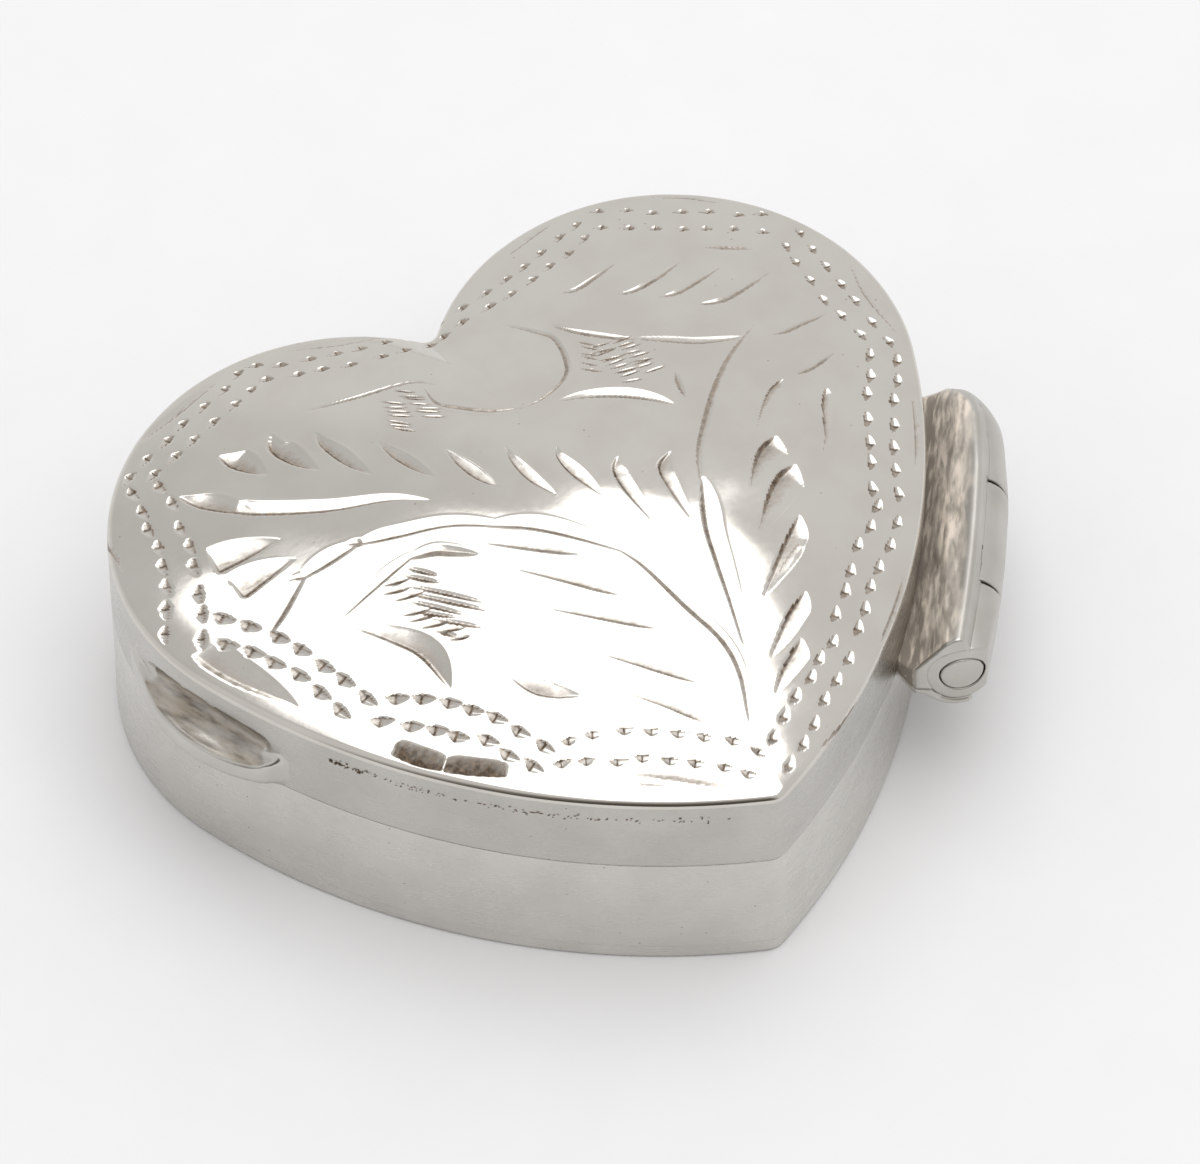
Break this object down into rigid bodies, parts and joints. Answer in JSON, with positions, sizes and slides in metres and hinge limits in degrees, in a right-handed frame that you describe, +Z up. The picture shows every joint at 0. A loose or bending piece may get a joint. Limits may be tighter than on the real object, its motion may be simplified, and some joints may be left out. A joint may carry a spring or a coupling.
{
  "type": "heart-shaped pill box",
  "caption": "Small heart-shaped metal pill box with a domed, engraved lid that swings on a side hinge, and a scooped thumb piece to lift it.",
  "frame": {"origin": "on the flat underside, midway between the centres of the two round lobes", "axes": "+Z up out of the underside, +Y from the point of the heart to its cleft, +X to the side with the hinge"},
  "size_m": [0.0345, 0.0284, 0.0117],
  "materials": {
    "silver_wall": "satin-polished silver with fine scratches",
    "silver_engraved": "polished silver with bright-cut engraving",
    "silver_inside": "polished silver",
    "silver_hinge": "worn silver with tarnish in the hollows",
    "silver_thumb": "worn silver, tarnished in the scoop"
  },
  "bodies": {
    "base": {"base_floor": "silver_wall", "base_wall": "silver_wall", "base_bezel": "silver_inside", "base_hinge_bearer": "silver_hinge", "base_knuckle": "silver_hinge"},
    "lid": {"lid_wall": "silver_wall", "lid_top": "silver_engraved", "thumb_piece": "silver_thumb", "lid_hinge_bearer": "silver_hinge", "lid_knuckle_front": "silver_hinge", "lid_knuckle_back": "silver_hinge", "hinge_pin": "silver_hinge"}
  },
  "joints": [
    {"name": "lid_hinge", "type": "hinge", "parent": "base", "child": "lid", "pos_m": [0.01392, -0.01041, 0.0065], "axis": [0.5779, 0.8161, 0], "range_deg": [0, 110]}
  ]
}
